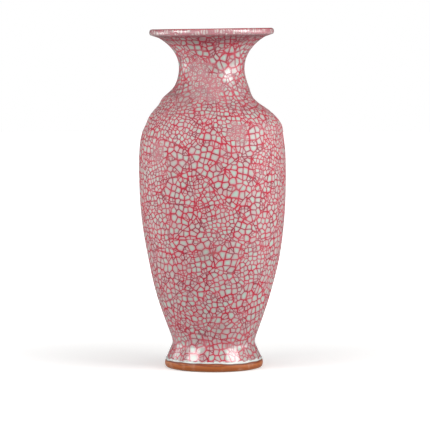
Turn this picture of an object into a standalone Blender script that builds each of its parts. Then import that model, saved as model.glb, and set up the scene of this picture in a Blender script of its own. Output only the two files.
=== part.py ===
"""A stoneware baluster vase with a crackled glaze, 14 inches tall.

The pot is thrown in four sections, luted together with slip, and dressed with a glaze coat outside, a
glaze lining inside, a glaze patch under the floor and an iron-brown wash on the foot.
Lengths are millimetres in this file, scaled to metres as each mesh is made. +Z is up, and the origin is
the centre of the foot's contact face. An outline is a list of (radius, height) points.
"""

import math

import bmesh
import bpy
from mathutils import Vector

MM = 0.001

# ---- driving dimensions ------------------------------------------------------------------------------
HEIGHT = 356.0  # 14 inches, foot to lip
WALL = 4.5  # thrown clay wall
COAT = 0.9  # thickness of the outside glaze
LINING = 0.8  # thickness of the inside glaze and of the patch under the floor
WASH = 0.7  # thickness of the brown wash on the foot
GAP = 0.3  # working gap left between two solids that touch
GLAZED_WALL = COAT + GAP + WALL + GAP + LINING

LIP_RADIUS = 65.3  # the widest part of the lip
LIP_ROLL = GLAZED_WALL / 2  # radius of the rolled edge
LIP_LEAN = 80.0  # how far the trumpet has opened where the rolled edge starts
LIP_CENTRE = (LIP_RADIUS - LIP_ROLL, HEIGHT - LIP_ROLL)
LIP_START = (
    LIP_CENTRE[0] + LIP_ROLL * math.cos(math.radians(LIP_LEAN)),
    LIP_CENTRE[1] - LIP_ROLL * math.sin(math.radians(LIP_LEAN)),
)

SLIP = 0.9  # thickness of the slip in a luted seam
SCARF = 1.5  # how far a seam rises from the outside to the middle of the wall
SEAM_HEIGHTS = {"foot": 38.0, "belly": 150.0, "neck": 290.0}

GLAZE_LINE = 8.7  # where the glaze stops and the brown foot begins
LINING_LINE = 346.0  # where the outside glaze, folded over the lip, meets the lining
FLOOR_TOP = 14.5
FLOOR_UNDERSIDE = 7.0
FLOOR_PATCH_RADIUS = 36.0
UNDERSIDE_RADIUS = 39.6  # where the flat underside starts to round down into the foot ring
UNDERSIDE_FILLET = 3.0
FOOT_CONTACT = (44.0, 48.4)  # inner and outer radius of the flat ring the vase stands on

# The outside silhouette as (radius, height, lean), lean being degrees from vertical, outwards as it rises.
SILHOUETTE = [
    (50.7, GLAZE_LINE, -23.0),
    (45.4, 20.8, -27.0),
    (43.5, 26.6, 0.0),
    (45.9, 36.0, 20.0),
    (60.6, 79.0, 15.5),
    (77.1, 200.0, 0.0),
    (73.8, 248.0, -13.5),
    (60.0, 271.0, -50.0),
    (44.0, 286.5, -33.0),
    (34.3, 315.0, 0.0),
    (44.3, 338.0, 45.0),
    (*LIP_START, LIP_LEAN),
]
# The brown foot below it, rounding under to the table.
FOOT_ROUNDING = [
    (50.0, GAP, 62.0),
    (51.8, 4.8, 0.0),
    (50.8, GLAZE_LINE - GAP, -23.0),
]
# The inside from the middle of the floor up to where it runs parallel to the outside.
INSIDE_FLOOR = [
    (0.0, FLOOR_TOP, 90.0),
    (22.0, FLOOR_TOP + 0.6, 86.0),
    (38.8, 37.0, 20.0),
]
PARALLEL_FROM = 44.0

SEGMENTS = 32
CHORD_ERROR = 0.35  # how far a straight facet may stray from the curve it stands for
FINE_CHORD_ERROR = 0.1  # the same on the small roundings of the foot
LEAST_SPACING = 0.2  # outline points nearer than this to a cut are left out
LEAST_MITRE = 0.5
SHARP = math.radians(32)

CLAY_COLOUR = (0.62, 0.55, 0.47)
SLIP_COLOUR = (0.68, 0.62, 0.54)
GLAZE_COLOUR = (0.52, 0.27, 0.28)
LINING_COLOUR = (0.47, 0.55, 0.49)
WASH_COLOUR = (0.38, 0.12, 0.05)


# ---- outlines ----------------------------------------------------------------------------------------
def flowing_curve(stations, chord_error=CHORD_ERROR):
    """Points along a smooth curve through (radius, height, lean) stations, closer where it turns."""
    points = []
    for (r0, z0, lean0), (r1, z1, lean1) in zip(stations, stations[1:]):
        reach = math.hypot(r1 - r0, z1 - z0)
        turn = math.radians(abs(lean1 - lean0))
        steps = max(1, math.ceil(math.sqrt(reach * turn / (8 * chord_error))))
        pull = [
            Vector((math.sin(math.radians(lean)), math.cos(math.radians(lean)))) * reach
            for lean in (lean0, lean1)
        ]
        for step in range(steps):
            t = step / steps
            points.append(
                (2 * t**3 - 3 * t**2 + 1) * Vector((r0, z0))
                + (t**3 - 2 * t**2 + t) * pull[0]
                + (3 * t**2 - 2 * t**3) * Vector((r1, z1))
                + (t**3 - t**2) * pull[1]
            )
    points.append(Vector(stations[-1][:2]))
    return points


def arc(centre, radius, start, end, steps):
    """Points on an arc; angles are in degrees, 0 pointing outwards and 90 up."""
    angles = [math.radians(start + (end - start) * i / steps) for i in range(steps + 1)]
    return [Vector((centre[0] + radius * math.cos(a), centre[1] + radius * math.sin(a))) for a in angles]


def beside(points, distance):
    """The outline moved sideways by distance, to the left of its direction of travel."""
    moved = []
    for i, point in enumerate(points):
        before = points[max(i - 1, 0)]
        after = points[min(i + 1, len(points) - 1)]
        into = (point - before).normalized() if i else (after - point).normalized()
        out = (after - point).normalized() if i < len(points) - 1 else into
        along = (into + out).normalized()
        mitre = distance / max(LEAST_MITRE, along.dot(into))
        moved.append(point + Vector((-along.y, along.x)) * mitre)
    return moved


def from_height(points, height):
    """The part of a rising outline above a height, starting exactly on it."""
    for i, (low, high) in enumerate(zip(points, points[1:])):
        if low.y <= height < high.y:
            on_cut = low.lerp(high, (height - low.y) / (high.y - low.y))
            return [on_cut] + [p for p in points[i + 1 :] if p.y > height + LEAST_SPACING]
    return list(points)


def up_to_height(points, height):
    """The part of a rising outline below a height, ending exactly on it."""
    falling = [Vector((p.x, -p.y)) for p in reversed(points)]
    return [Vector((p.x, -p.y)) for p in reversed(from_height(falling, -height))]


def outside_outline():
    """The finished outside, from the glaze line up to the bottom of the rolled lip."""
    return flowing_curve(SILHOUETTE)


def lip_arc(depth):
    """The lip's rolled edge from below to its top, at a depth under the finished surface."""
    return arc(LIP_CENTRE, LIP_ROLL - depth, -45.0, 90.0, 3)


def inside_outline():
    """The finished inside, from the middle of the floor up to the top of the rolled lip."""
    parallel = beside(outside_outline(), GLAZED_WALL)
    return flowing_curve(INSIDE_FLOOR) + from_height(parallel, PARALLEL_FROM)


def foot_outline():
    """The finished outside of the brown foot, from the table up to the glaze line."""
    return flowing_curve(FOOT_ROUNDING, FINE_CHORD_ERROR)


def underside_outline():
    """The clay underneath, from the middle of the floor out and down to the contact face."""
    centre = (UNDERSIDE_RADIUS, FLOOR_UNDERSIDE - UNDERSIDE_FILLET)
    fillet = arc(centre, UNDERSIDE_FILLET, 90.0, 20.0, 3)
    return [Vector((0.0, FLOOR_UNDERSIDE))] + fillet + [Vector((FOOT_CONTACT[0], 0.0))]


# ---- solids ------------------------------------------------------------------------------------------
def coloured(name, colour, roughness):
    material = bpy.data.materials.new(name)
    material.use_nodes = True
    shader = material.node_tree.nodes["Principled BSDF"]
    shader.inputs["Base Color"].default_value = (*colour, 1.0)
    shader.inputs["Roughness"].default_value = roughness
    return material


def turned(name, outline, material, parent):
    """One closed ring or disc, spun round the vase's axis from its closed outline."""
    mesh = bpy.data.meshes.new(name)
    shape = bmesh.new()
    corners = [shape.verts.new((p.x * MM, 0.0, p.y * MM)) for p in outline]
    on_axis = [p.x < 1e-6 for p in outline]
    edges = [
        shape.edges.new((corners[i - 1], corners[i]))
        for i in range(len(corners))
        if not (on_axis[i - 1] and on_axis[i])
    ]
    bmesh.ops.spin(
        shape,
        geom=corners + edges,
        cent=(0, 0, 0),
        axis=(0, 0, 1),
        angle=2 * math.pi,
        steps=SEGMENTS,
        use_merge=True,
    )
    bmesh.ops.remove_doubles(shape, verts=shape.verts, dist=1e-6)
    bmesh.ops.recalc_face_normals(shape, faces=shape.faces)
    shape.to_mesh(mesh)
    shape.free()
    mesh.shade_smooth()
    mesh.set_sharp_from_angle(angle=SHARP)
    mesh.materials.append(material)
    piece = bpy.data.objects.new(name, mesh)
    bpy.context.scene.collection.objects.link(piece)
    piece.parent = parent
    return piece


def skin(finished, thickness):
    """The closed outline of a skin lying thickness deep to the left of a finished outline."""
    return finished + list(reversed(beside(finished, thickness)))


def clay_outlines():
    """The outside and the inside of the bare clay wall, both rising."""
    outer = beside(outside_outline(), COAT + GAP)
    inner = beside(inside_outline(), -(LINING + GAP))
    return outer, inner


def cut(name, side):
    """The heights where a seam leaves the outside and the inside of the wall, for one side of it.

    side is +1 for the clay above the seam, -1 for the clay below.
    """
    middle = SEAM_HEIGHTS[name] + side * (SLIP / 2 + GAP)
    return middle - SCARF, middle + SCARF


def wall_band(low, high):
    """The closed outline of the wall between two cuts, each an outside and an inside height."""
    outer, inner = clay_outlines()
    outside = up_to_height(from_height(outer, low[0]), high[0])
    inside = up_to_height(from_height(inner, low[1]), high[1])
    return outside + list(reversed(inside))


def foot_section_outline():
    """The turned foot with its floor: flared outside, recessed underneath, hollow above."""
    outer, inner = clay_outlines()
    high = cut("foot", -1)
    bare_foot = [Vector((FOOT_CONTACT[1], 0.0))] + beside(foot_outline(), WASH + GAP)
    hollow = list(reversed(up_to_height(inner, high[1])))
    return bare_foot + up_to_height(outer, high[0]) + hollow + underside_outline()


def belly_section_outline():
    return wall_band(cut("foot", +1), cut("belly", -1))


def shoulder_section_outline():
    return wall_band(cut("belly", +1), cut("neck", -1))


def mouth_section_outline():
    """The neck and trumpet, closed over the top by the rolled lip."""
    outer, inner = clay_outlines()
    low = cut("neck", +1)
    hollow = list(reversed(from_height(inner, low[1])))
    return from_height(outer, low[0]) + lip_arc(COAT + GAP) + hollow


def slip_outline(name):
    """The slip that fills a seam, with a working gap to the clay on each side."""
    low = [height + GAP for height in cut(name, -1)]
    high = [height - GAP for height in cut(name, +1)]
    return wall_band(low, high)


def outer_glaze_outline():
    """The crackled coat: up the outside, over the lip and down to the lining line."""
    climb = outside_outline() + lip_arc(0.0)
    backing = beside(outside_outline(), COAT) + lip_arc(COAT)
    fold = from_height(inside_outline(), LINING_LINE)
    return climb + list(reversed(fold)) + beside(fold, -COAT) + list(reversed(backing))


def inner_glaze_outline():
    """The poured lining, from the middle of the floor up to the lining line."""
    return skin(up_to_height(inside_outline(), LINING_LINE - GAP), -LINING)


def base_glaze_outline():
    """The round-edged patch of glaze inside the foot ring."""
    top = FLOOR_UNDERSIDE - GAP
    edge = arc((FLOOR_PATCH_RADIUS - LINING / 2, top - LINING / 2), LINING / 2, 90.0, -90.0, 4)
    return [Vector((0.0, top))] + edge + [Vector((0.0, top - LINING))]


def foot_wash_outline():
    """The iron-brown dressing on the outside of the foot."""
    return skin(foot_outline(), WASH)


def build():
    for old in list(bpy.data.objects):
        bpy.data.objects.remove(old)
    vase = bpy.data.objects.new("vase", None)
    bpy.context.scene.collection.objects.link(vase)

    clay = coloured("fired_clay", CLAY_COLOUR, 0.85)
    slip = coloured("luting_slip", SLIP_COLOUR, 0.9)
    crackle = coloured("crackle_glaze", GLAZE_COLOUR, 0.18)
    lining = coloured("lining_glaze", LINING_COLOUR, 0.2)
    wash = coloured("iron_wash", WASH_COLOUR, 0.45)

    turned("foot_section", foot_section_outline(), clay, vase)
    turned("belly_section", belly_section_outline(), clay, vase)
    turned("shoulder_section", shoulder_section_outline(), clay, vase)
    turned("mouth_section", mouth_section_outline(), clay, vase)
    for name in SEAM_HEIGHTS:
        turned(f"{name}_slip_seam", slip_outline(name), slip, vase)
    turned("outer_glaze", outer_glaze_outline(), crackle, vase)
    turned("inner_glaze", inner_glaze_outline(), lining, vase)
    turned("base_glaze", base_glaze_outline(), lining, vase)
    turned("foot_wash", foot_wash_outline(), wash, vase)


build()
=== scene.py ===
import math

import bpy
import numpy as np
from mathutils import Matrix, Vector


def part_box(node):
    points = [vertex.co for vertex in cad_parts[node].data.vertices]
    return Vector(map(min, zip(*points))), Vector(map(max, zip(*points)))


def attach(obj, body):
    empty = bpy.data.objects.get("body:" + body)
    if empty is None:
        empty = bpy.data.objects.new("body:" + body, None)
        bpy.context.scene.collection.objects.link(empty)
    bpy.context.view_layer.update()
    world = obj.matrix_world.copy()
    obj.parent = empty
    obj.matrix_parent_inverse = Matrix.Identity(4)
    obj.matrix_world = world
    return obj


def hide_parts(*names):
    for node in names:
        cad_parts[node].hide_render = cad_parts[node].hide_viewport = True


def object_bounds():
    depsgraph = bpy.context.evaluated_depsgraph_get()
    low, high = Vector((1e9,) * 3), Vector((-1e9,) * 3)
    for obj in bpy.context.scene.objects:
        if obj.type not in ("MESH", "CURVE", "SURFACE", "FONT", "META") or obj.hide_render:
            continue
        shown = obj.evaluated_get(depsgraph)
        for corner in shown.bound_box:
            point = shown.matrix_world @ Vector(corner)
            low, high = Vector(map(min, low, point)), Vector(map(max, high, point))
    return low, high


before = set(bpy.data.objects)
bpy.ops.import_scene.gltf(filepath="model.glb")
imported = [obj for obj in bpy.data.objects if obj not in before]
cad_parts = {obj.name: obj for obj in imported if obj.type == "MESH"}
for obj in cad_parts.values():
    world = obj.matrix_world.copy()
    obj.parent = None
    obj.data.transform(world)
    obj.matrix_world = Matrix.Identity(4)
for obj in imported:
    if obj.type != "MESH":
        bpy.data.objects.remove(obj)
cad_low, cad_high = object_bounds()

# The looks of a crackle-glazed baluster vase, built round its CAD solids. Lengths are in metres.
MM = 0.001
HEIGHT = cad_high.z

# ---- shape -------------------------------------------------------------------------------------------
CORNER = math.radians(55)  # an outline that turns more than this has an edge there
SCARF_CORNER = math.radians(34)  # the same on a piece with a scarfed seam, whose corners turn less
EDGE_ROUNDING = 0.3 * MM
EDGE_SUPPORT = 1.0 * MM
EDGE_SHARE = 0.5  # an edge's support stays within this share of the straight beside it
SHORT_EDGE_SHARE = 0.35  # where the straight is too short for that, it sits here
STEP_LENGTH = 2.0 * MM  # spacing of the rings along an outline
STEP_TURN = math.radians(9)
AROUND, FINE_AROUND = 144, 192  # faces round a piece, and round the ones seen most
SAME_PLACE, SAME_DECIMALS = 1e-7, 7
ON_AXIS = 1e-6  # a radius below this is on the axis
LEAST_SPAN = 1e-9  # keeps a curve from dividing by zero

# Firing left the vase a little out of true. Heights, widths and shifts of its axis, along X.
LEAN = -2.6 * MM
AXIS_BUMPS = [
    (0.256, 0.008, 1.6 * MM),
    (0.282, 0.009, -2.9 * MM),
    (0.115, 0.025, 0.6 * MM),
]
SWELLING = (0.2845, 0.007, 2.4 * MM)  # the same for a bulge on the -X side, under the neck
RIM_TILT = 0.014  # rise of the rim per unit of X
RIM_TILT_FROM, RIM_TILT_TO = 0.315, 0.352
WOBBLE = 0.12 * MM  # what the thrower's hands left
WOBBLE_FROM = (0.012, 0.03)  # it sets in between these heights
GLAZE_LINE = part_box("outer_glaze")[0].z  # where the glaze ends above the foot
GLAZE_LINE_WAVE = 0.45 * MM
GLAZE_LINE_REACH = 6 * MM  # how far from the line its wave is felt
GLAZE_LINE_RADII = (0.032, 0.042)  # it fades inwards between these, so that the vase's floor stays level
# Waves round the vase: how many, their size, their phase, and how far they turn in a metre of height.
GLAZE_LINE_WAVES = [(3, 1.0, 1.0, 0.0), (7, 0.6, 0.0, 0.0), (16, 0.4, 0.0, 0.0)]
WOBBLE_WAVES = [(2, 1.0, 0.0, 9.0), (3, 0.6, 0.0, -31.0), (5, 0.5, 0.0, 57.0)]
LIP_FACE = 7.5 * MM
LIP_SQUARENESS = 0.78  # 1 leaves the lip round
LIP_OUTSIDE = 0.85  # a point this far from the lip's middle, over the lip's size, is on its outside
LIP_SQUARED = (0.2, 0.7)  # as its larger coordinate goes between these, it goes from round to squared
ROLL_HEIGHT, ROLL_WIDTH, ROLL = 1.3 * MM, 1.2 * MM, 0.55 * MM  # the roll of thick glaze above the line


def smoothstep(values, low, high):
    t = np.clip((values - low) / (high - low), 0.0, 1.0)
    return t * t * (3 - 2 * t)


def waves(lobes, angle, height=0.0):
    """The sum of waves round the vase, at an angle and a height."""
    return sum(size * np.sin(count * angle + phase + turn * height) for count, size, phase, turn in lobes)


def as_fired(points):
    """Moves points from the true turned shape to the slightly warped one that came out of the kiln."""
    x, y, z = points.T
    angle = np.arctan2(y, x)
    shift = LEAN * z / HEIGHT
    for height, width, size in AXIS_BUMPS:
        shift = shift + size * np.exp(-(((z - height) / width) ** 2))
    height, width, size = SWELLING
    shift = shift - size * np.exp(-(((z - height) / width) ** 2)) * np.maximum(-np.cos(angle), 0.0)
    rise = RIM_TILT * x * smoothstep(z, RIM_TILT_FROM, RIM_TILT_TO)
    near_line = np.clip(1 - np.abs(z - GLAZE_LINE) / GLAZE_LINE_REACH, 0.0, 1.0)
    near_line = near_line * smoothstep(np.hypot(x, y), *GLAZE_LINE_RADII)
    rise = rise + GLAZE_LINE_WAVE * near_line * waves(GLAZE_LINE_WAVES, angle)
    wobble = waves(WOBBLE_WAVES, angle, z) * WOBBLE * smoothstep(z, *WOBBLE_FROM)
    on_table = np.maximum(z + rise, 0.0)
    return np.column_stack([x + shift + wobble * np.cos(angle), y + wobble * np.sin(angle), on_table])


def turned_outline(node):
    """The (radius, height) outline of a turned CAD node, anticlockwise, and whether it closes on itself."""
    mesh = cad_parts[node].data
    points = np.array([v.co for v in mesh.vertices])
    rings = np.column_stack([np.hypot(points[:, 0], points[:, 1]), points[:, 2]])
    on_seam = (np.abs(points[:, 1]) < SAME_PLACE) & (points[:, 0] > -SAME_PLACE)
    corners = np.unique(np.round(rings[on_seam], SAME_DECIMALS), axis=0)
    nearest = np.linalg.norm(rings[:, None] - corners[None], axis=2).argmin(axis=1)
    links = {i: set() for i in range(len(corners))}
    for edge in mesh.edges:
        a, b = (int(nearest[v]) for v in edge.vertices)
        if a != b:
            links[a].add(b)
            links[b].add(a)
    ends = sorted(i for i in links if len(links[i]) == 1)
    path = [ends[0] if ends else 0]
    while True:
        onward = [i for i in sorted(links[path[-1]]) if i not in path]
        if not onward:
            break
        path.append(onward[0])
    outline = corners[path]
    if ends:
        outline = np.array([p for p in outline if p[0] > ON_AXIS])
        outline = np.vstack([(0.0, outline[0][1]), outline, (0.0, outline[-1][1])])
    following = np.roll(outline, -1, axis=0)
    area = (outline[:, 0] * following[:, 1] - following[:, 0] * outline[:, 1]).sum()
    return (outline if area > 0 else outline[::-1]), not ends


def turn_at(before, here, after):
    into, out = here - before, after - here
    cosine = into @ out / (np.linalg.norm(into) * np.linalg.norm(out))
    return math.acos(max(-1.0, min(1.0, cosine)))


def with_soft_edges(outline, closed, corner):
    """The outline with each corner that turns enough swapped for points close either side of it."""
    softened = []
    count = len(outline)
    for i, here in enumerate(outline):
        before, after = outline[i - 1], outline[(i + 1) % count]
        at_end = not closed and i in (0, count - 1)
        if at_end or turn_at(before, here, after) < corner:
            softened.append(here)
            continue
        for other, order in ((before, -1), (after, 1)):
            reach = np.linalg.norm(other - here)
            away = (other - here) / reach
            near = [d for d in (EDGE_SUPPORT, EDGE_ROUNDING) if d < EDGE_SHARE * reach]
            near = near or [SHORT_EDGE_SHARE * reach]
            softened += [here + away * d for d in near[::-order]]
    return np.array(softened)


def smooth_through(outline, closed):
    """A centripetal Catmull-Rom curve through the outline, with rings close enough for a smooth surface."""
    count = len(outline)
    spans = count if closed else count - 1
    curve = []
    for i in range(spans):
        p1, p2 = outline[i], outline[(i + 1) % count]
        p0 = outline[i - 1] if closed or i > 0 else 2 * p1 - p2
        p3 = outline[(i + 2) % count] if closed or i + 2 < count else 2 * p2 - p1
        pairs = ((p0, p1), (p1, p2), (p2, p3))
        d1, d2, d3 = (math.sqrt(max(np.linalg.norm(b - a), LEAST_SPAN)) for a, b in pairs)
        m1 = (p2 - p1) + d2 * ((p1 - p0) / d1 - (p2 - p0) / (d1 + d2))
        m2 = (p2 - p1) + d2 * ((p3 - p2) / d3 - (p3 - p1) / (d2 + d3))
        turn = turn_at(p1 - m1, p1, p1 + m2)
        steps = max(math.ceil(d2 * d2 / STEP_LENGTH), math.ceil(turn / STEP_TURN))
        for t in np.arange(steps) / steps:
            curve.append(
                (2 * t**3 - 3 * t**2 + 1) * p1
                + (t**3 - 2 * t**2 + t) * m1
                + (3 * t**2 - 2 * t**3) * p2
                + (t**3 - t**2) * m2
            )
    if not closed:
        curve.append(outline[-1])
    return np.array(curve)


ARC_LENGTH = "arc_length"  # how far round its outline a point of a turned piece is


def spun(name, outline, closed, around):
    """A mesh object spun from an outline, warped as fired, with a cylindrical UV map for baking."""
    if not closed:
        outline = outline[1:-1] if outline[0][0] < ON_AXIS else outline
    rings = len(outline)
    angles = 2 * math.pi * np.arange(around) / around
    radius, height = outline.T
    points = np.stack([
        radius[:, None] * np.cos(angles),
        radius[:, None] * np.sin(angles),
        np.repeat(height[:, None], around, axis=1),
    ], axis=2).reshape(-1, 3)
    points = as_fired(points)
    spans = rings if closed else rings - 1
    lengths = np.linalg.norm(np.roll(outline, -1, axis=0) - outline, axis=1)[:spans]
    along = np.concatenate([[0.0], np.cumsum(lengths) / lengths.sum()])
    faces, uvs = [], []
    for i in range(spans):
        low, high = i * around, (i + 1) % rings * around
        for j in range(around):
            k = (j + 1) % around
            faces.append((low + j, low + k, high + k, high + j))
            u, w = j / around, (j + 1) / around
            uvs += [(u, along[i]), (w, along[i]), (w, along[i + 1]), (u, along[i + 1])]
    if not closed:
        for ring, flip in ((0, True), (rings - 1, False)):
            loop = [ring * around + j for j in range(around)]
            faces.append(tuple(loop[::-1] if flip else loop))
            uvs += [(0.5, along[-1] if not flip else 0.0)] * around
    mesh = bpy.data.meshes.new(name)
    mesh.from_pydata(points.tolist(), [], faces)
    arc = mesh.attributes.new(ARC_LENGTH, "FLOAT", "POINT")
    arc.data.foreach_set("value", np.repeat(along[:rings] * lengths.sum(), around).astype(np.float32))
    layer = mesh.uv_layers.new(name="OFBake")
    layer.data.foreach_set("uv", np.array(uvs, np.float32).ravel())
    mesh.shade_smooth()
    piece = bpy.data.objects.new(name, mesh)
    bpy.context.scene.collection.objects.link(piece)
    return piece


def squared_lip(outline):
    """The outer glaze's outline with its round lip filled out a little towards a square."""
    radius, height = outline.T
    near_rim = height > HEIGHT - LIP_FACE
    widest = outline[near_rim][radius[near_rim].argmax()]
    size = height.max() - widest[1]
    middle = widest - (size, 0.0)
    away = (outline - middle) / size
    squared = middle + size * np.sign(away) * np.abs(away) ** LIP_SQUARENESS
    on_lip = near_rim & (np.linalg.norm(away, axis=1) > LIP_OUTSIDE)
    share = smoothstep(away.max(axis=1), *LIP_SQUARED) * on_lip
    return outline + (squared - outline) * share[:, None]


def with_roll(outline):
    """The outer glaze's outline with a roll of thick glaze just above its lower edge, on its outer side."""
    radius, height = outline.T
    swell = np.exp(-(((height - GLAZE_LINE - ROLL_HEIGHT) / ROLL_WIDTH) ** 2))
    middle = radius[height < GLAZE_LINE + ROLL_HEIGHT].mean()
    return np.column_stack([radius + ROLL * swell * (radius > middle), height])


def thick_glaze(outline):
    return squared_lip(with_roll(outline))


def visual_piece(node, material, around=AROUND, reshape=None, corner=CORNER):
    """The finished piece that stands for a turned CAD node."""
    outline, closed = turned_outline(node)
    outline = smooth_through(with_soft_edges(outline, closed, corner), closed)
    if reshape:
        outline = reshape(outline)
    piece = spun(f"{node}_finish", outline, closed, around)
    piece.data.materials.append(material)
    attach(piece, "root")
    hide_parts(node)
    return piece


# ---- materials ---------------------------------------------------------------------------------------
class Nodes:
    """Short names for building a material's nodes."""

    def __init__(self, name):
        self.material = bpy.data.materials.new(name)
        self.material.use_nodes = True
        self.tree = self.material.node_tree
        self.shader = self.tree.nodes["Principled BSDF"]

    def add(self, kind, inputs, output=0, **settings):
        node = self.tree.nodes.new(kind)
        for name, value in settings.items():
            setattr(node, name, value)
        for key, value in inputs.items():
            self.set(node, key, value)
        return node.outputs[output]

    def set(self, node, key, value):
        if isinstance(value, bpy.types.NodeSocket):
            self.tree.links.new(value, node.inputs[key])
        else:
            node.inputs[key].default_value = value

    def math(self, operation, *values):
        return self.add("ShaderNodeMath", dict(enumerate(values)), operation=operation)

    def product(self, first, *others):
        for other in others:
            first = self.math("MULTIPLY", first, other)
        return first

    def vector(self, operation, *values, output=0):
        return self.add("ShaderNodeVectorMath", dict(enumerate(values)), output, operation=operation)

    def scaled(self, vector, factor):
        return self.add("ShaderNodeVectorMath", {0: vector, "Scale": factor}, operation="SCALE")

    def step(self, value, low, high, start=0.0, end=1.0):
        """A smooth step from start to end as value goes from low to high."""
        inputs = {"Value": value, "From Min": low, "From Max": high, "To Min": start, "To Max": end}
        return self.add("ShaderNodeMapRange", inputs, interpolation_type="SMOOTHSTEP")

    def mix(self, factor, a, b):
        node = self.tree.nodes.new("ShaderNodeMix")
        node.data_type = "RGBA"
        self.set(node, 0, factor)
        self.set(node, 6, a)
        self.set(node, 7, b)
        return node.outputs[2]

    def noise(self, position, size, detail=2.0, roughness=0.5):
        """Noise from about 0 to 1 with features of a size."""
        inputs = {"Vector": position, "Scale": 1 / size, "Detail": detail, "Roughness": roughness}
        return self.add("ShaderNodeTexNoise", inputs)

    def patchy(self, position, size, low, high, start, end):
        """Start where noise with features of a size is under low, end where it is over high."""
        return self.step(self.noise(position, size), low, high, start, end)

    def place(self):
        return self.add("ShaderNodeTexCoord", {}, "Object")

    def xyz(self, position):
        node = self.tree.nodes.new("ShaderNodeSeparateXYZ")
        self.set(node, 0, position)
        return tuple(node.outputs)

    def bump(self, *heights):
        """Bump from (height from 0 to 1, its size in metres) pairs, one on top of the other."""
        normal = None
        for height, size in heights:
            inputs = {"Height": height, "Distance": size, "Strength": 1.0}
            if normal:
                inputs["Normal"] = normal
            normal = self.add("ShaderNodeBump", inputs)
        self.set(self.shader, "Normal", normal)

    def separate(self, colour):
        node = self.tree.nodes.new("ShaderNodeSeparateColor")
        self.set(node, "Color", colour)
        return tuple(node.outputs)

    def combine(self, x, y):
        return self.add("ShaderNodeCombineXYZ", {"X": x, "Y": y})


def rgb(red, green, blue):
    """A linear colour from the 0 to 255 values of a screen colour."""
    parts = [v / 255 for v in (red, green, blue)]
    return (*[p / 12.92 if p <= 0.04045 else ((p + 0.055) / 1.055) ** 2.4 for p in parts], 1.0)


# Crackle. The first cracks part the glaze into plates, later ones part these into cells, some of which are
# split again.
PLATE_SIZE = 34 * MM
PLATE_TURN = math.radians(14)  # the most that the rows of cells in a plate lean
DRIFT_SIZE, DRIFT, DRIFT_DETAIL = 26 * MM, 7 * MM, 1.5  # how the cracks wander
CELL_SIZE = 5.3 * MM
CELL_SIZE_RANGE = (0.85, 1.2)  # between plates
CELL_RANDOMNESS = 0.7
CELL_ROUNDING = 0.5
PLATE_OFFSET, CELL_OFFSET = 37.0, 23.0  # in cells, so that each plate and each split cell has its own net
LOW_CELLS = (0.11, 0.17)  # the cells shrink upwards between these heights
LOW_GROWTH = 1.15
MOUTH_CELLS = (0.29, 0.33)  # and grow upwards between these
MOUTH_GROWTH = 1.3
SPLIT_SIZE, SPLIT_SHARE = 3.6 * MM, 0.26
FINE_SIZE, FINE_RANDOMNESS = 2.2 * MM, 0.85
# Patches of fine, paler and fainter crackle on the neck and shoulders: partly real fine crackle, partly
# painted haze of reflected light.
FINE_SHEEN_PATCHES = [  # (a point at the middle of a patch of fine cells, its radius)
    ((-0.017, -0.030, 0.313), 13 * MM),
    ((-0.006, -0.038, 0.293), 17 * MM),
    ((0.022, -0.064, 0.247), 12 * MM),
    ((-0.055, -0.050, 0.228), 10 * MM),
]
RAGGED_SIZE, RAGGED = 7 * MM, 22 * MM
LIP_CELL, LIP_CELL_SHAPE = 2.6 * MM, 0.2  # the width of the lip's cells, and that over their height
LIP_LINE_FROM = (1.0 * MM, 0.8 * MM)  # the rim's stained line comes up between these depths under its top
LIP_LINE_TO, LIP_LINE_LEFT = (0.25 * MM, 0.1 * MM), 0.3  # and fades to this share of it between these
LIP_LINE_PATCHES, LIP_LINE_FAINT = (6 * MM, 0.35, 0.5), 0.5
UNDER_LIP = (0.334, 0.345)  # painted shade under the lip, darker and darker between these heights
UNDER_LIP_END = (LIP_FACE, 0.8 * LIP_FACE)  # and stops between these depths under the rim
# patches of the painted shade under the lip, and its least and most strength
UNDER_LIP_PATCHES, UNDER_LIP_SHADE_STRENGTH = (9 * MM, 0.3, 0.6), (0.35, 0.55)
SLOPE_REACH = 0.12 * MM  # how far away a second distance is taken, to find how fast it changes
LEAST_SLOPE = 0.3  # a slower change counts as this
LEVEL = 0.8  # a surface whose normal is this near to vertical is level

# Patches are (how far apart they are, two levels of their noise between which they come up).
STAIN_PATCHES, STAIN_WIDTH = (7 * MM, 0.45, 0.7), (0.44 * MM, 0.68 * MM)
STAIN_AT_MOUTH, STAIN_LOW = 1.15, 0.75  # the width at the mouth and low on the belly, over that between them
STAIN_CORE = 0.15  # the share of its width over which a stain is full
POOLING = 0.3  # how far a stain spreads where cracks meet
OLD_PATCHES, OLD_SHARE = (11 * MM, 0.4, 0.62), (0.1, 0.9)
OLD_WHERE = (-1.0 * MM, -0.5 * MM)  # stains stay crimson where they pool this deep
FAINT_PATCHES, LEAST_STAIN = (13 * MM, 0.3, 0.55), 0.8
# the fine patches' cracks are fainter and their cells pinker, partly as painted sheen
FINE_FAINTNESS, LIP_FAINTNESS = 0.55, 0.7
HALO_WIDTH, NARROW_HALO_WIDTH = 1.9 * MM, 0.7 * MM
TINTED_FROM, SHADED_FROM = 0.35, 0.4  # a cell whose chance is over this is tinted, or shaded
CELL_SHADE, FINE_SHADE, LIP_PALENESS = 0.35, 0.15, 0.7
# darker, greyer patches at random over the glaze
GREY_PATCHES, GREYING = (30 * MM, 0.56, 0.75), 0.35
BARE_PATCHES, BARE_WAVER = (5 * MM, 0.3, 0.7), 0.8 * MM  # the pale roll's upper edge wanders by this
BARE = (1.6 * MM, 2.8 * MM)  # and it fades out between these heights over the glaze line

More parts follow.
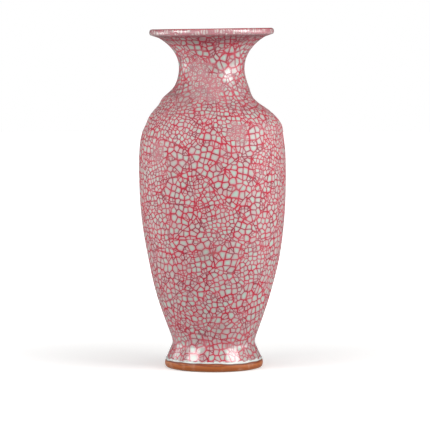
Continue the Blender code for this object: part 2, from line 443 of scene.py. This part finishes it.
DRY_FROM = (0.025, 0.07)  # the glaze is duller from about here
DRY_TO = (0.265, 0.29)  # to here
FLOWED = (0.018, 0.026)  # below about here the glaze lies smooth over its cracks
GLAZE_ROUGHNESS, SMOOTH_ROUGHNESS = 0.2, 0.13
CRACK_ROUGHNESS, DRY_ROUGHNESS, FINE_ROUGHNESS = 0.18, 0.3, 0.4  # added to those
ROUGH_PATCHES, PATCH_ROUGHNESS = (24 * MM, 0.35, 0.7), 0.08  # and so is this
GLAZE_IOR = 1.6
GLAZE_SHINE, GLAZE_DULLING = 0.75, 0.25  # specular level where it is shiny, and what dryness takes off it
LIP_UNEVENNESS = 0.2  # the size of the lip's bumps over those elsewhere
FINE_BUMP_SIZE, FINE_BUMP = 3.5 * MM, 0.05 * MM  # how wide the bumps are, and how high
BROAD_BUMP_SIZE, BROAD_BUMP = 16 * MM, 0.25 * MM

GLAZE_COLOUR = rgb(170, 194, 180)
GLAZE_COLOUR_WARM = rgb(182, 184, 176)
HALO_COLOUR = rgb(190, 142, 148)
STAIN_COLOUR = rgb(184, 4, 46)
OLD_STAIN_COLOUR = rgb(118, 26, 44)
GREY_PATCH_COLOUR = rgb(158, 128, 126)
LIP_LINE_COLOUR = rgb(176, 20, 44)
LIP_COLOUR = rgb(216, 196, 192)
# painted shade under the lip
UNDER_LIP_SHADE_COLOUR = rgb(116, 30, 48)
ROLL_COLOUR = rgb(216, 222, 218)
LINING_COLOUR = rgb(186, 198, 188)
LINING_PALE = rgb(206, 212, 203)
LINING_STAIN = rgb(176, 96, 100)
WASH_COLOUR = rgb(184, 104, 48)
WASH_DARK = rgb(134, 68, 36)
WASH_EDGE = rgb(120, 44, 34)
# painted reflection on the iron wash
WASH_SHEEN_COLOUR = rgb(196, 150, 124)
CLAY_COLOUR = rgb(196, 172, 144)
CLAY_PALE = rgb(214, 196, 172)
CLAY_FLUSH = rgb(186, 138, 104)
SLIP_COLOUR = rgb(204, 192, 176)
SPECK_COLOUR = rgb(92, 62, 48)


def nearest_edge(n, position, size, randomness, flat=True):
    """Distance in metres from a position, given in cells, to the nearest edge of a net."""
    inputs = {"Vector": position, "Scale": 1.0, "Randomness": randomness}
    kind = {"feature": "DISTANCE_TO_EDGE", "voronoi_dimensions": "2D" if flat else "3D"}
    return n.math("MULTIPLY", n.add("ShaderNodeTexVoronoi", inputs, "Distance", **kind), size)


def cell_at(n, position, randomness, flat=True):
    """The (random colour, centre, distance to the centre) of the cell a position is in, all in cells."""
    node = n.tree.nodes.new("ShaderNodeTexVoronoi")
    node.voronoi_dimensions = "2D" if flat else "3D"
    n.set(node, "Vector", position)
    n.set(node, "Scale", 1.0)
    n.set(node, "Randomness", randomness)
    return node.outputs["Color"], node.outputs["Position"], node.outputs["Distance"]


def edge_along_surface(n, place, around, upward, size, randomness):
    """Distance to the nearest edge of a solid net, measured along the surface that cuts it."""
    places = [place] + [n.vector("ADD", place, n.scaled(way, SLOPE_REACH)) for way in (around, upward)]
    here, *beside = [nearest_edge(n, n.scaled(at, 1 / size), size, randomness, flat=False) for at in places]
    slopes = [n.math("DIVIDE", n.math("SUBTRACT", d, here), SLOPE_REACH) for d in beside]
    slope = n.math("SQRT", n.math("ADD", *[n.math("MULTIPLY", s, s) for s in slopes]))
    return n.math("DIVIDE", here, n.math("MAXIMUM", slope, LEAST_SLOPE))


def rim_level(n, place):
    """Height as it was before the rim tilted."""
    x, _, z = n.xyz(place)
    return n.math("SUBTRACT", z, n.math("MULTIPLY", x, RIM_TILT))


def fine_sheen_patches(n, place):
    """1 inside the patches of fine, paler crackle that are partly painted sheen, 0 outside them."""
    ragged = n.math("MULTIPLY", n.math("SUBTRACT", n.noise(place, RAGGED_SIZE, 3.0), 0.5), RAGGED)
    inside = 0.0
    for middle, radius in FINE_SHEEN_PATCHES:
        reach = n.math("ADD", n.vector("DISTANCE", place, middle, output="Value"), ragged)
        inside = n.math("MAXIMUM", n.math("LESS_THAN", reach, radius), inside)
    return inside


def unrolled(n, place, centre, drift):
    """A place on the surface as (distance round from a centre's side, distance along the outline)."""
    x, y, _ = n.xyz(place)
    far_x, far_y, _ = n.xyz(centre)
    angle = n.math("SUBTRACT", n.math("ARCTAN2", y, x), n.math("ARCTAN2", far_y, far_x))
    radius = n.math("SQRT", n.math("ADD", n.math("MULTIPLY", x, x), n.math("MULTIPLY", y, y)))
    round_it = n.math("MULTIPLY", n.math("WRAP", angle, math.pi, -math.pi), radius)
    along = n.add("ShaderNodeAttribute", {}, "Fac", attribute_name=ARC_LENGTH)
    return n.vector("ADD", n.combine(round_it, along), drift)


def faces_out(n, place):
    """1 where the surface faces away from the vase's axis, 0 where it faces the axis."""
    normal = n.add("ShaderNodeNewGeometry", {}, "Normal")
    level_place = n.vector("MULTIPLY", place, (1, 1, 0))
    return n.math("GREATER_THAN", n.vector("DOT_PRODUCT", normal, level_place, output="Value"), 0.0)


def faces_up_or_down(n):
    """1 where the surface is level or nearly so."""
    _, _, facing_up = n.xyz(n.add("ShaderNodeNewGeometry", {}, "Normal"))
    return n.math("GREATER_THAN", n.math("ABSOLUTE", facing_up), LEVEL)


def only_where(n, mask, edge):
    """A distance to an edge, made large where the mask is 0, so that the edge isn't seen there."""
    return n.math("ADD", edge, n.math("MULTIPLY", n.math("SUBTRACT", 1.0, mask), CELL_SIZE))


def crackle(n, place, fine=0.0, lip=0.0, level=0.0):
    """The distance to the nearest crack, the same with rounded corners, and two chances for each cell.

    Fine, lip and level are masks: where cells are fine, where they are the lip's tall ones, and where the
    surface is a level disc instead of a wall.
    """
    normal = n.add("ShaderNodeNewGeometry", {}, "Normal")
    around = n.vector("NORMALIZE", n.vector("CROSS_PRODUCT", (0, 0, 1), place))
    upward = n.vector("NORMALIZE", n.vector("CROSS_PRODUCT", normal, around))
    wander = {"Vector": place, "Scale": 1 / DRIFT_SIZE, "Detail": DRIFT_DETAIL}
    drift = n.add("ShaderNodeTexNoise", wander, "Color")
    drift = n.scaled(n.vector("SUBTRACT", drift, (0.5, 0.5, 0.5)), DRIFT)
    bent = n.vector("ADD", place, drift)

    plate, centre, _ = cell_at(n, n.scaled(bent, 1 / PLATE_SIZE), 1.0, flat=False)
    plate_edge = edge_along_surface(n, bent, around, upward, PLATE_SIZE, 1.0)
    turn_chance, size_chance, _ = n.separate(plate)
    _, _, centre_height = n.xyz(n.scaled(centre, PLATE_SIZE))
    growth = n.step(size_chance, 0.0, 1.0, *CELL_SIZE_RANGE)
    growth = n.math("MULTIPLY", growth, n.step(centre_height, *MOUTH_CELLS, 1.0, MOUTH_GROWTH))
    growth = n.math("MULTIPLY", growth, n.step(centre_height, *LOW_CELLS, LOW_GROWTH, 1.0))
    turn = n.step(turn_chance, 0.0, 1.0, -PLATE_TURN, PLATE_TURN)
    on_wall = n.scaled(unrolled(n, place, centre, drift), n.math("SUBTRACT", 1.0, level))
    local = n.vector("ADD", on_wall, n.scaled(bent, level))
    local = n.add("ShaderNodeVectorRotate", {"Vector": local, "Angle": turn}, rotation_type="Z_AXIS")
    local = n.scaled(local, n.math("DIVIDE", 1.0, growth))

    at_cell = n.vector("ADD", n.scaled(local, 1 / CELL_SIZE), n.scaled(plate, PLATE_OFFSET))
    cell, _, reach = cell_at(n, at_cell, CELL_RANDOMNESS)
    cell_edge = nearest_edge(n, at_cell, CELL_SIZE, CELL_RANDOMNESS)
    tint_chance, split_chance, shade_chance = n.separate(cell)

    at_split = n.vector("ADD", n.scaled(local, 1 / SPLIT_SIZE), n.scaled(cell, CELL_OFFSET))
    split_edge = nearest_edge(n, at_split, SPLIT_SIZE, CELL_RANDOMNESS)
    split_edge = only_where(n, n.math("LESS_THAN", split_chance, SPLIT_SHARE), split_edge)
    fine_edge = nearest_edge(n, n.scaled(local, 1 / FINE_SIZE), FINE_SIZE, FINE_RANDOMNESS)
    at_lip = n.vector("MULTIPLY", local, (1 / LIP_CELL, LIP_CELL_SHAPE / LIP_CELL, 0.0))
    lip_edge = nearest_edge(n, at_lip, LIP_CELL, FINE_RANDOMNESS)
    inner = n.math("MINIMUM", only_where(n, fine, fine_edge), only_where(n, lip, lip_edge))
    inner = n.math("MINIMUM", inner, split_edge)

    corner = n.math("MULTIPLY", n.math("MULTIPLY", reach, reach), CELL_ROUNDING * CELL_SIZE)
    outer = n.math("MINIMUM", plate_edge, cell_edge)
    rounded = n.math("MINIMUM", n.math("SUBTRACT", outer, corner), inner)
    return n.math("MINIMUM", outer, inner), rounded, tint_chance, shade_chance


def cell_colour(n, fine, lip, rounded, tint_chance, shade_chance):
    """The glaze, with a tint for each cell, and the pink that bleeds into it beside the cracks."""
    glaze = n.mix(n.step(tint_chance, TINTED_FROM, 1.0), GLAZE_COLOUR, GLAZE_COLOUR_WARM)
    shade = n.step(shade_chance, SHADED_FROM, 1.0, 0.0, CELL_SHADE)
    glaze = n.mix(n.math("MAXIMUM", shade, n.math("MULTIPLY", fine, FINE_SHADE)), glaze, HALO_COLOUR)
    glaze = n.mix(n.math("MULTIPLY", lip, LIP_PALENESS), glaze, LIP_COLOUR)
    halo_width = n.step(n.math("MAXIMUM", fine, lip), 0.0, 1.0, HALO_WIDTH, NARROW_HALO_WIDTH)
    return n.mix(n.step(rounded, 0.0, halo_width), HALO_COLOUR, glaze)


def stain_depth(n, place, z, nearest, rounded):
    """0 in the middle of a crack, 1 at the edge of its stain."""
    at_mouth = n.step(z, *MOUTH_CELLS, 1.0, STAIN_AT_MOUTH)
    low_down = n.step(z, *LOW_CELLS, STAIN_LOW, 1.0)
    width = n.product(n.patchy(place, *STAIN_PATCHES, *STAIN_WIDTH), at_mouth, low_down)
    pooled = n.math("MULTIPLY_ADD", n.math("SUBTRACT", rounded, nearest), POOLING, nearest)
    return n.math("DIVIDE", pooled, width)


def with_stain(n, place, colour, depth, rounded, fine, lip):
    """A colour under the cracks' stain, which is crimson, or browner where it is old and hasn't pooled."""
    old = n.product(n.patchy(place, *OLD_PATCHES, *OLD_SHARE), n.step(rounded, *OLD_WHERE))
    fine_faint = n.math("MULTIPLY", fine, FINE_FAINTNESS)
    faint = n.math("MAXIMUM", fine_faint, n.math("MULTIPLY", lip, LIP_FAINTNESS))
    strength = n.patchy(place, *FAINT_PATCHES, LEAST_STAIN, 1.0)
    strength = n.math("MULTIPLY", strength, n.math("SUBTRACT", 1.0, faint))
    line = n.math("MULTIPLY", n.step(depth, STAIN_CORE, 1.0, 1.0, 0.0), strength)
    return n.mix(line, colour, n.mix(old, STAIN_COLOUR, OLD_STAIN_COLOUR))


def lip_line(n, place, level, outside):
    """1 on the thin stained line round the outer edge of the rim."""
    starts = n.step(level, *[HEIGHT - depth for depth in LIP_LINE_FROM])
    ends = n.step(level, *[HEIGHT - depth for depth in LIP_LINE_TO], 1.0, LIP_LINE_LEFT)
    return n.product(starts, ends, outside, n.patchy(place, *LIP_LINE_PATCHES, LIP_LINE_FAINT, 1.0))


def under_lip_shade(n, level, outside):
    """1 where shade is painted under the lip."""
    ends = n.step(level, *[HEIGHT - depth for depth in UNDER_LIP_END], 1.0, 0.0)
    return n.product(n.step(level, *UNDER_LIP), outside, ends)


def bare_roll(n, place, z):
    """1 on the uncracked roll of glaze just above the line where it ends."""
    waver = n.patchy(place, *BARE_PATCHES, -BARE_WAVER, BARE_WAVER)
    low, high = BARE
    return n.step(n.math("ADD", z, waver), GLAZE_LINE + low, GLAZE_LINE + high, 1.0, 0.0)


def finish_glaze(n, place, z, depth, fine, lip, under):
    """Sets the shine and the bumps: smooth on the lip and where the glaze flowed, dry between."""
    dry = n.math("MULTIPLY", n.step(z, *DRY_FROM), n.step(z, *DRY_TO, 1.0, 0.0))
    smooth = n.math("MAXIMUM", lip, n.step(z, *FLOWED, 1.0, 0.0))
    uncovered = n.math("SUBTRACT", 1.0, smooth)
    cracked = n.math("MULTIPLY", n.step(depth, 0.0, 1.0, CRACK_ROUGHNESS, 0.0), uncovered)
    rough = n.step(smooth, 0.0, 1.0, GLAZE_ROUGHNESS, SMOOTH_ROUGHNESS)
    rough = n.math("ADD", rough, n.math("MULTIPLY", dry, DRY_ROUGHNESS))
    rough = n.math("ADD", rough, cracked)
    rough = n.math("ADD", rough, n.patchy(place, *ROUGH_PATCHES, 0.0, PATCH_ROUGHNESS))
    rough = n.math("ADD", rough, n.math("MULTIPLY", n.math("MAXIMUM", fine, under), FINE_ROUGHNESS))
    n.set(n.shader, "Roughness", rough)
    dull = n.math("MULTIPLY", n.math("MAXIMUM", dry, under), GLAZE_DULLING)
    n.set(n.shader, "Specular IOR Level", n.math("SUBTRACT", GLAZE_SHINE, dull))
    n.set(n.shader, "IOR", GLAZE_IOR)
    uneven = n.step(lip, 0.0, 1.0, 1.0, LIP_UNEVENNESS)
    fine_bumps = n.math("MULTIPLY", n.noise(place, FINE_BUMP_SIZE), uneven)
    broad_bumps = n.math("MULTIPLY", n.noise(place, BROAD_BUMP_SIZE, 1.0), uneven)
    n.bump((fine_bumps, FINE_BUMP), (broad_bumps, BROAD_BUMP))


def crackle_glaze():
    """The outside glaze: grey-green, broken by a crackle that is stained crimson."""
    n = Nodes("crackle_glaze")
    place = n.place()
    _, _, z = n.xyz(place)
    level = rim_level(n, place)
    outside = faces_out(n, place)
    # the fine patches are partly painted sheen: paler, pinker and fainter crackle
    fine = fine_sheen_patches(n, place)
    lip = n.math("GREATER_THAN", level, HEIGHT - LIP_FACE)
    lip = n.math("MAXIMUM", lip, n.math("SUBTRACT", 1.0, outside))
    nearest, rounded, tint_chance, shade_chance = crackle(n, place, fine, lip)
    depth = stain_depth(n, place, z, nearest, rounded)
    under = under_lip_shade(n, level, outside)

    colour = cell_colour(n, fine, lip, rounded, tint_chance, shade_chance)
    colour = with_stain(n, place, colour, depth, rounded, fine, lip)
    # darker, greyer patches at random
    colour = n.mix(n.patchy(place, *GREY_PATCHES, 0.0, GREYING), colour, GREY_PATCH_COLOUR)
    colour = n.mix(lip_line(n, place, level, outside), colour, LIP_LINE_COLOUR)
    # painted shade under the lip, in dark crimson
    painted_shade = n.math("MULTIPLY", under, n.patchy(place, *UNDER_LIP_PATCHES, *UNDER_LIP_SHADE_STRENGTH))
    colour = n.mix(painted_shade, colour, UNDER_LIP_SHADE_COLOUR)
    colour = n.mix(bare_roll(n, place, z), colour, ROLL_COLOUR)
    n.set(n.shader, "Base Color", colour)
    finish_glaze(n, place, z, depth, fine, lip, under)
    return n.material


FIRM, SOFT = (0.35, 0.65), (0.3, 0.7)  # levels of a noise between which a look changes
RING_WANDER, RING_WANDER_SIZE = 3 * MM, 14 * MM

WASH_STREAK, WASH_STREAK_DEPTH = 1.1 * MM, 0.12 * MM
# how far apart the wash's patches are, the noise levels between which pale patches of painted reflection
# come up, and their most
WASH_PATCH, WASH_SHEEN_FROM, WASH_SHEEN_STRENGTH = 11 * MM, (0.5, 0.72), 0.45
WASH_UNDER_GLAZE = (1.6 * MM, 0.3 * MM)  # it darkens between these depths under the glaze line
WASH_EDGE_SHARE = 0.65
WASH_WORN, WASH_WEAR, WASH_WEAR_WAVER = (1.4 * MM, 2.2 * MM), 0.8, 2 * MM
WASH_ROUGHNESS, WASH_SHINE = (0.3, 0.5), 0.3
WASH_GRAIN, WASH_GRAIN_DEPTH = 0.9 * MM, 0.04 * MM

CLAY_RING, CLAY_RING_DEPTH = 1.6 * MM, 0.15 * MM
CLAY_GRIT, CLAY_GRIT_DEPTH = 0.7 * MM, 0.1 * MM
FLUSH_PATCHES, FLUSH = (20 * MM, 0.45, 0.7), 0.6
SPECK_SIZE, SPECK_FROM, SPECKS = 1.6 * MM, (0.66, 0.72), 0.7
CLAY_ROUGHNESS = (0.7, 0.92)

CRUMB_SIZE, CRUMB_DEPTH = 1.2 * MM, 0.12 * MM
SHRINKAGE_CELL, SHRINKAGE_STAIN = 4 * MM, 0.6
SHRINKAGE_LINE = (0.05 * MM, 0.2 * MM)  # a shrinkage crack's colour fades between these distances from it
SHRINKAGE_WIDTH, SHRINKAGE_DEPTH = 0.2 * MM, 0.06 * MM
SLIP_ROUGHNESS = (0.8, 0.97)

LINING_POOL, LINING_TINTED_FROM, LINING_TINT = 26 * MM, 0.2, 0.5
LINING_STAIN_PATCHES, LINING_STAIN_SHARE = (12 * MM, 0.35, 0.7), (0.2, 0.75)
LINING_LINE = (0.1 * MM, 0.45 * MM)  # a crack's colour fades between these distances from it
PINHOLE_SIZE, PINHOLE_FROM, PINHOLE_DEPTH = 1.1 * MM, (0.76, 0.8), 0.1 * MM
LINING_BUMP_SIZE, LINING_BUMP = 4 * MM, 0.06 * MM
LINING_ROUGHNESS, LINING_SHINE = (0.12, 0.26), 0.6


def turning_marks(n, place, spacing):
    """0 to 1 rings left by a turning tool, uneven in height and round the piece."""
    x, y, z = n.xyz(place)
    radius = n.math("SQRT", n.math("ADD", n.math("MULTIPLY", x, x), n.math("MULTIPLY", y, y)))
    along = n.math("ADD", radius, z)
    drift = n.math("MULTIPLY", n.noise(place, RING_WANDER_SIZE, 1.0), RING_WANDER)
    at = n.combine(n.math("DIVIDE", n.math("ADD", along, drift), spacing), 0.0)
    return n.add("ShaderNodeTexNoise", {"Vector": at, "Scale": 1.0, "Detail": 2.0})


def iron_wash():
    """Brown iron slip brushed round the foot, streaked, and worn at the edge that it stands on."""
    n = Nodes("iron_wash")
    place = n.place()
    _, _, z = n.xyz(place)
    streak = turning_marks(n, place, WASH_STREAK)
    patch = n.noise(place, WASH_PATCH)
    colour = n.mix(n.step(streak, *FIRM), WASH_DARK, WASH_COLOUR)
    # pale patches of painted reflection
    colour = n.mix(n.step(patch, *WASH_SHEEN_FROM, 0.0, WASH_SHEEN_STRENGTH), colour, WASH_SHEEN_COLOUR)
    under_glaze = n.step(z, *[GLAZE_LINE - depth for depth in WASH_UNDER_GLAZE], 0.0, WASH_EDGE_SHARE)
    colour = n.mix(under_glaze, colour, WASH_EDGE)
    wavering = n.math("ADD", z, n.math("MULTIPLY", patch, WASH_WEAR_WAVER))
    worn = n.step(wavering, *WASH_WORN, WASH_WEAR, 0.0)
    colour = n.mix(worn, colour, CLAY_COLOUR)
    n.set(n.shader, "Base Color", colour)
    n.set(n.shader, "Roughness", n.step(streak, *SOFT, *WASH_ROUGHNESS))
    n.set(n.shader, "Specular IOR Level", WASH_SHINE)
    n.bump((streak, WASH_STREAK_DEPTH), (n.noise(place, WASH_GRAIN), WASH_GRAIN_DEPTH))
    return n.material


def fired_clay():
    """Bare buff stoneware: turning marks, grit, iron specks and flushes of brown."""
    n = Nodes("fired_clay")
    place = n.place()
    rings = turning_marks(n, place, CLAY_RING)
    grit = n.noise(place, CLAY_GRIT)
    specks = n.step(n.noise(place, SPECK_SIZE, 1.0), *SPECK_FROM, 0.0, SPECKS)
    colour = n.mix(n.step(rings, *SOFT), CLAY_COLOUR, CLAY_PALE)
    colour = n.mix(n.patchy(place, *FLUSH_PATCHES, 0.0, FLUSH), colour, CLAY_FLUSH)
    colour = n.mix(specks, colour, SPECK_COLOUR)
    n.set(n.shader, "Base Color", colour)
    n.set(n.shader, "Roughness", n.step(grit, *SOFT, *CLAY_ROUGHNESS))
    n.bump((rings, CLAY_RING_DEPTH), (grit, CLAY_GRIT_DEPTH))
    return n.material


def luting_slip():
    """The clay paste between the sections: paler than the body, with crumbs and shrinkage cracks."""
    n = Nodes("luting_slip")
    place = n.place()
    crumbs = n.noise(place, CRUMB_SIZE, 3.0)
    cracks = nearest_edge(n, n.scaled(place, 1 / SHRINKAGE_CELL), SHRINKAGE_CELL, 1.0, flat=False)
    colour = n.mix(n.step(crumbs, *FIRM), SLIP_COLOUR, CLAY_PALE)
    colour = n.mix(n.step(cracks, *SHRINKAGE_LINE, SHRINKAGE_STAIN, 0.0), colour, SPECK_COLOUR)
    n.set(n.shader, "Base Color", colour)
    n.set(n.shader, "Roughness", n.step(crumbs, *SOFT, *SLIP_ROUGHNESS))
    n.bump((crumbs, CRUMB_DEPTH), (n.step(cracks, 0.0, SHRINKAGE_WIDTH), SHRINKAGE_DEPTH))
    return n.material


def lining_glaze():
    """The glaze inside the vase and under its foot: paler, with a faintly stained crackle and pinholes."""
    n = Nodes("lining_glaze")
    place = n.place()
    nearest, _, tint_chance, _ = crackle(n, place, level=faces_up_or_down(n))
    pool = n.noise(place, LINING_POOL)
    colour = n.mix(n.step(pool, *FIRM), LINING_COLOUR, LINING_PALE)
    colour = n.mix(n.step(tint_chance, LINING_TINTED_FROM, 1.0, 0.0, LINING_TINT), colour, GLAZE_COLOUR_WARM)
    stain = n.patchy(place, *LINING_STAIN_PATCHES, *LINING_STAIN_SHARE)
    line = n.math("MULTIPLY", n.step(nearest, *LINING_LINE, 1.0, 0.0), stain)
    colour = n.mix(line, colour, LINING_STAIN)
    pinhole = n.step(n.noise(place, PINHOLE_SIZE, 1.0), *PINHOLE_FROM)
    colour = n.mix(pinhole, colour, SPECK_COLOUR)
    n.set(n.shader, "Base Color", colour)
    n.set(n.shader, "Roughness", n.step(pool, *SOFT, *LINING_ROUGHNESS))
    n.set(n.shader, "Specular IOR Level", LINING_SHINE)
    n.bump((pinhole, PINHOLE_DEPTH), (n.noise(place, LINING_BUMP_SIZE), LINING_BUMP))
    return n.material


# ---- stage -------------------------------------------------------------------------------------------
FLOOR_RADIUS = 6.0
FLOOR_AROUND, FLOOR_RINGS = 96, 24
FLOOR_FADE = (0.1, 0.8)  # where the floor turns to pure white for the camera
FLOOR_GLOW = 0.3  # what the camera sees added near the vase
FLOOR_ROUGHNESS = 0.9
FLOOR_COLOUR = rgb(240, 240, 239)
FLOOR_AS_LIT = rgb(205, 205, 205)  # what the vase sees, so that little light comes up under the lip
ROOM_FADE = (-0.1, 0.75)  # along +Y, from beside the vase to behind it
ROOM_LEVELS = (0.48, 0.08)
# Name, azimuth, distance, height of the middle, width, height and power. Azimuth is from the camera's side.
SOFTBOXES = [
    ("left_box", -58, 0.80, 0.54, 0.44, 0.32, 2.5),
    ("right_box", 55, 0.76, 0.54, 0.44, 0.32, 3.2),
    ("side_box", -105, 0.9, 0.2, 0.5, 0.3, 1.3),
    ("left_fill", -40, 1.6, 0.32, 1.4, 0.6, 5.0),
    ("right_fill", 80, 1.5, 0.32, 1.4, 0.6, 8.7),
    ("top_box", 0, 0.15, 1.7, 1.2, 1.2, 3.5),
]
CAMERA_DISTANCE = 7.4 * HEIGHT
LENS, SENSOR_WIDTH = 210, 36
SIGHT = Vector((0.0011, 0.0, 0.450 * HEIGHT))


def floor_paper():
    """Pale paper that the camera sees fade to pure white away from the vase, so that it has no horizon."""
    n = Nodes("floor_paper")
    far = n.step(n.vector("LENGTH", n.place(), output="Value"), *FLOOR_FADE, FLOOR_GLOW, 1.0)
    seen = n.add("ShaderNodeLightPath", {}, "Is Camera Ray")
    n.set(n.shader, "Base Color", n.mix(seen, FLOOR_AS_LIT, FLOOR_COLOUR))
    n.set(n.shader, "Roughness", FLOOR_ROUGHNESS)
    n.set(n.shader, "Emission Color", (1, 1, 1, 1))
    n.set(n.shader, "Emission Strength", n.math("MULTIPLY", far, seen))
    return n.material


def floor_disc():
    """A round, level floor made of rings of faces."""
    mesh = bpy.data.meshes.new("floor")
    points = [(0.0, 0.0, 0.0)]
    for radius in np.linspace(0.0, FLOOR_RADIUS, FLOOR_RINGS + 1)[1:]:
        for j in range(FLOOR_AROUND):
            angle = 2 * math.pi * j / FLOOR_AROUND
            points.append((radius * math.cos(angle), radius * math.sin(angle), 0.0))
    faces = [(0, 1 + j, 1 + (j + 1) % FLOOR_AROUND) for j in range(FLOOR_AROUND)]
    for i in range(FLOOR_RINGS - 1):
        for j in range(FLOOR_AROUND):
            a, b = 1 + i * FLOOR_AROUND + j, 1 + i * FLOOR_AROUND + (j + 1) % FLOOR_AROUND
            faces.append((a, a + FLOOR_AROUND, b + FLOOR_AROUND, b))
    mesh.from_pydata(points, [], faces)
    floor = bpy.data.objects.new("floor", mesh)
    bpy.context.scene.collection.objects.link(floor)
    floor.data.materials.append(floor_paper())


def white_room():
    """A room that lights the vase from the camera's side, and that the camera sees as pure white."""
    world = bpy.data.worlds.new("studio")
    bpy.context.scene.world = world
    world.use_nodes = True
    tree = world.node_tree
    back = tree.nodes["Background"]
    back.inputs["Color"].default_value = (1, 1, 1, 1)
    towards = tree.nodes.new("ShaderNodeSeparateXYZ")
    tree.links.new(tree.nodes.new("ShaderNodeTexCoord").outputs["Generated"], towards.inputs[0])
    room = tree.nodes.new("ShaderNodeMapRange")
    room.interpolation_type = "SMOOTHSTEP"
    tree.links.new(towards.outputs["Y"], room.inputs["Value"])
    for name, value in zip(("From Min", "From Max", "To Min", "To Max"), ROOM_FADE + ROOM_LEVELS):
        room.inputs[name].default_value = value
    seen = tree.nodes.new("ShaderNodeLightPath").outputs["Is Camera Ray"]
    level = tree.nodes.new("ShaderNodeMix")
    tree.links.new(seen, level.inputs["Factor"])
    tree.links.new(room.outputs[0], level.inputs["A"])
    level.inputs["B"].default_value = 1.0
    tree.links.new(level.outputs[0], back.inputs["Strength"])


def softbox(name, azimuth, distance, middle_height, width, height, power):
    """A soft light that faces the vase. Azimuth is in degrees, positive to the camera's right."""
    a = math.radians(azimuth)
    light = bpy.data.lights.new(name, "AREA")
    light.shape = "RECTANGLE"
    light.size, light.size_y = width, height
    light.energy = power
    lamp = bpy.data.objects.new(name, light)
    lamp.location = (math.sin(a) * distance, -math.cos(a) * distance, middle_height)
    away = lamp.location - Vector((0, 0, HEIGHT / 2))
    lamp.rotation_mode = "QUATERNION"
    lamp.rotation_quaternion = away.to_track_quat("Z", "Y")
    bpy.context.scene.collection.objects.link(lamp)


def camera():
    """A long lens, level with the rim, that looks a little down at the vase."""
    data = bpy.data.cameras.new("camera")
    data.lens = LENS
    data.sensor_width = SENSOR_WIDTH
    view = bpy.data.objects.new("camera", data)
    view.location = (SIGHT.x, -CAMERA_DISTANCE, HEIGHT)
    view.rotation_mode = "QUATERNION"
    view.rotation_quaternion = (view.location - SIGHT).to_track_quat("Z", "Y")
    bpy.context.scene.collection.objects.link(view)
    bpy.context.scene.camera = view


crackled = crackle_glaze()
lining = lining_glaze()
clay = fired_clay()
slip = luting_slip()
visual_piece("foot_section", clay)
for node in ("belly_section", "shoulder_section", "mouth_section"):
    visual_piece(node, clay, corner=SCARF_CORNER)
for node in ("foot_slip_seam", "belly_slip_seam", "neck_slip_seam"):
    visual_piece(node, slip, corner=SCARF_CORNER)
visual_piece("outer_glaze", crackled, FINE_AROUND, thick_glaze)
visual_piece("inner_glaze", lining)
visual_piece("base_glaze", lining)
visual_piece("foot_wash", iron_wash(), FINE_AROUND)

floor_disc()
white_room()
for light in SOFTBOXES:
    softbox(*light)
camera()
bpy.context.scene.view_settings.view_transform = "Standard"
